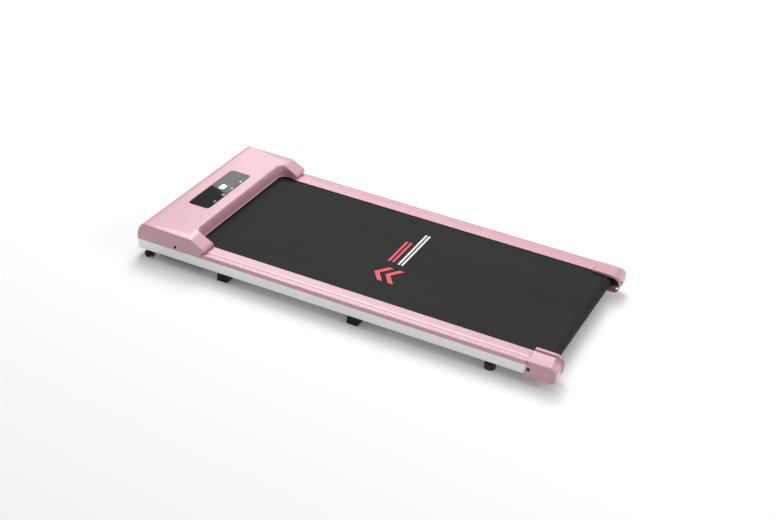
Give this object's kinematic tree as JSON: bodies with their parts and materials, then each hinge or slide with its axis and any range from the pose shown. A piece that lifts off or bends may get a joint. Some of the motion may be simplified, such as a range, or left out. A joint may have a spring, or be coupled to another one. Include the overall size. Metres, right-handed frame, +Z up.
{
  "type": "treadmill",
  "caption": "Slim under-desk walking treadmill: running belt between side rails, low motor hood with flush console at the front, rear roller caps, feet and transport wheels.",
  "frame": {"origin": "on the floor under the middle of the machine, the bottom centre of its bounding box", "axes": "+X from the motor hood to the open rear end, +Y to the walker's right, +Z up"},
  "size_m": [1.0714, 0.51, 0.0914],
  "materials": {
    "pink_plastic": "satin moulded plastic",
    "white_steel": "powder coat",
    "grey_plastic": "moulded",
    "deck_board": "waxed phenolic face",
    "belt_rubber": "embossed matt",
    "bright_steel": "turned",
    "zinc_steel": "zinc plated",
    "black_rubber": "moulded",
    "black_plastic": "moulded",
    "lens_black": "polished",
    "circuit_board": "solder mask",
    "black_steel": "black oxide",
    "aluminium": "extruded",
    "motor_paint": "painted",
    "magnet": "sintered",
    "core": "wound and varnished"
  },
  "bodies": {
    "root": {"left_side_rail": "white_steel", "right_side_rail": "white_steel", "front_cross_member": "white_steel", "deck_cross_tubes": "white_steel", "front_roller_brackets": "zinc_steel", "rear_roller_brackets": "zinc_steel", "belly_pan": "grey_plastic", "running_deck": "deck_board", "deck_cushions": "black_rubber", "deck_screws": "zinc_steel", "running_belt": "belt_rubber", "front_roller_axle": "bright_steel", "motor_can": "motor_paint", "motor_end_bells": "aluminium", "motor_magnets": "magnet", "motor_bearings": "bright_steel", "motor_bracket": "zinc_steel", "drive_belt": "black_rubber", "controller_board": "circuit_board", "controller_heatsink": "aluminium", "controller_capacitors": "black_plastic", "console_lens": "lens_black", "console_board": "circuit_board", "display_module": "black_plastic", "console_cable": "black_rubber", "motor_cable": "black_rubber", "power_inlet": "black_plastic", "switch_housing": "black_plastic", "breaker_body": "black_plastic", "motor_hood": "pink_plastic", "left_rail_cover": "pink_plastic", "right_rail_cover": "pink_plastic", "left_end_cap": "pink_plastic", "right_end_cap": "pink_plastic", "hood_screws": "black_steel", "end_cap_screws": "black_steel", "rubber_feet": "black_rubber", "leveller_nuts": "zinc_steel", "wheel_brackets": "black_plastic", "wheel_axles": "black_steel"},
    "front_roller": {"front_roller_tube": "bright_steel", "front_roller_bearings": "bright_steel", "front_roller_pulley": "black_plastic"},
    "rear_axle": {"rear_roller_axle": "bright_steel"},
    "rear_roller": {"rear_roller_tube": "bright_steel", "rear_roller_bearings": "bright_steel"},
    "left_tensioner": {"left_tension_bolt": "zinc_steel"},
    "right_tensioner": {"right_tension_bolt": "zinc_steel"},
    "motor_rotor": {"motor_shaft": "bright_steel", "motor_armature": "core", "motor_fan": "black_plastic", "motor_pulley": "zinc_steel"},
    "switch_rocker_body": {"switch_rocker": "black_plastic"},
    "breaker_button_body": {"breaker_button": "black_plastic"},
    "left_foot": {"left_leveller_pad": "black_plastic"},
    "left_foot_stud": {"left_leveller_stud": "zinc_steel"},
    "right_foot": {"right_leveller_pad": "black_plastic"},
    "right_foot_stud": {"right_leveller_stud": "zinc_steel"},
    "left_wheel": {"left_transport_wheel": "black_plastic"},
    "right_wheel": {"right_transport_wheel": "black_plastic"}
  },
  "joints": [
    {"name": "front_roller_spin", "type": "hinge", "parent": "root", "child": "front_roller", "pos_m": [-0.40275, 0, 0.0386], "axis": [0, 1, 0], "continuous": true},
    {"name": "motor_spin", "type": "hinge", "parent": "root", "child": "motor_rotor", "pos_m": [-0.45975, 0.15, 0.055], "axis": [0, 1, 0], "continuous": true},
    {"name": "belt_tension", "type": "slide", "parent": "root", "child": "rear_axle", "axis": [1, 0, 0], "range_m": [-0.006, 0]},
    {"name": "rear_roller_spin", "type": "hinge", "parent": "rear_axle", "child": "rear_roller", "pos_m": [0.49525, 0, 0.0386], "axis": [0, 1, 0], "continuous": true},
    {"name": "rocker_tilt", "type": "hinge", "parent": "root", "child": "switch_rocker_body", "pos_m": [-0.52875, -0.105, 0.0354], "axis": [0, 0, 1], "range_deg": [-20, 0]},
    {"name": "breaker_press", "type": "slide", "parent": "root", "child": "breaker_button_body", "axis": [1, 0, 0], "range_m": [0, 0.0012], "stiffness_N_per_m": 500, "springref_m": -0.004},
    {"name": "left_tension_bolt_turn", "type": "hinge", "parent": "root", "child": "left_tensioner", "pos_m": [0.49525, -0.217, 0.0386], "axis": [-1, 0, 0], "range_deg": [-2165, 5]},
    {"name": "left_foot_lift", "type": "slide", "parent": "root", "child": "left_foot", "axis": [0, 0, -1], "range_m": [0, 0.01]},
    {"name": "left_foot_turn", "type": "hinge", "parent": "left_foot", "child": "left_foot_stud", "pos_m": [0.37825, -0.2375, 0.02], "axis": [0, 0, -1], "range_deg": [-5, 2890]},
    {"name": "left_wheel_spin", "type": "hinge", "parent": "root", "child": "left_wheel", "pos_m": [-0.50575, -0.2437, 0.0096], "axis": [0, 1, 0], "continuous": true},
    {"name": "right_tension_bolt_turn", "type": "hinge", "parent": "root", "child": "right_tensioner", "pos_m": [0.49525, 0.217, 0.0386], "axis": [-1, 0, 0], "range_deg": [-2165, 5]},
    {"name": "right_foot_lift", "type": "slide", "parent": "root", "child": "right_foot", "axis": [0, 0, -1], "range_m": [0, 0.01]},
    {"name": "right_foot_turn", "type": "hinge", "parent": "right_foot", "child": "right_foot_stud", "pos_m": [0.37825, 0.2375, 0.02], "axis": [0, 0, -1], "range_deg": [-5, 2890]},
    {"name": "right_wheel_spin", "type": "hinge", "parent": "root", "child": "right_wheel", "pos_m": [-0.50575, 0.2437, 0.0096], "axis": [0, 1, 0], "continuous": true}
  ],
  "couplings": [
    {"joint": "front_roller_spin", "follows": "motor_spin", "ratio": 0.42857},
    {"joint": "rear_roller_spin", "follows": "motor_spin", "ratio": 0.42857},
    {"joint": "left_tension_bolt_turn", "follows": "belt_tension", "rad_per_m": 6283.2},
    {"joint": "left_foot_turn", "follows": "left_foot_lift", "rad_per_m": 5026.5},
    {"joint": "right_tension_bolt_turn", "follows": "belt_tension", "rad_per_m": 6283.2},
    {"joint": "right_foot_turn", "follows": "right_foot_lift", "rad_per_m": 5026.5}
  ]
}
